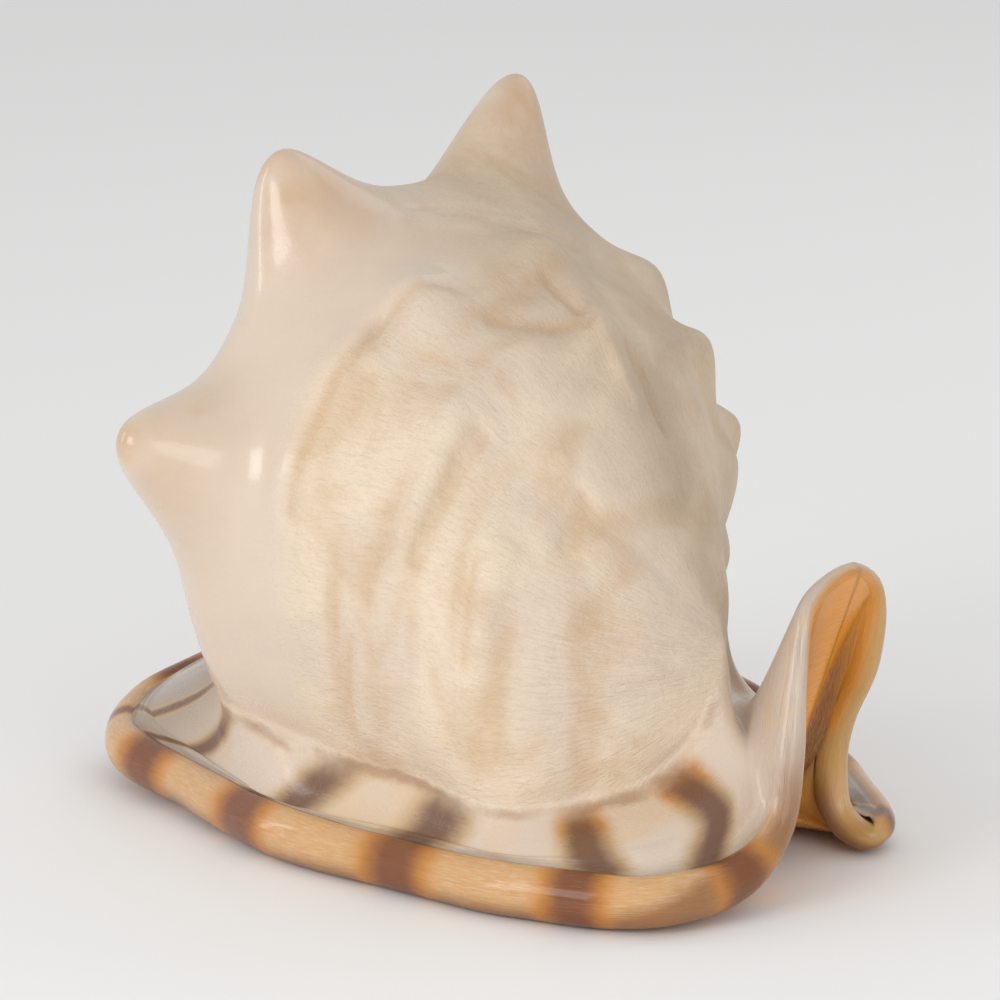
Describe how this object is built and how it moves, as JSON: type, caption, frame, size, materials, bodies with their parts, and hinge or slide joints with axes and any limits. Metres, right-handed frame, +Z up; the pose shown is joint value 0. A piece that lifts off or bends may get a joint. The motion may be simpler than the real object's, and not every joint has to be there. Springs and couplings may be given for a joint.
{
  "type": "helmet shell",
  "caption": "Horned helmet shell, hollow, with a knobbed body whorl, rolled outer lip, wide parietal shield and upturned canal.",
  "frame": {"origin": "middle of the bounding box in plan, on the surface that the shell rests on", "axes": "+X from the apex towards the siphonal canal, -Y towards the outer lip, +Z up, aperture down"},
  "size_m": [0.2544, 0.234, 0.2106],
  "materials": {
    "shell": "cream porcellaneous shell with tan patches, a glossy peach rim and dark brown bars"
  },
  "bodies": {
    "root": {"helmet_shell": "shell"}
  },
  "joints": []
}
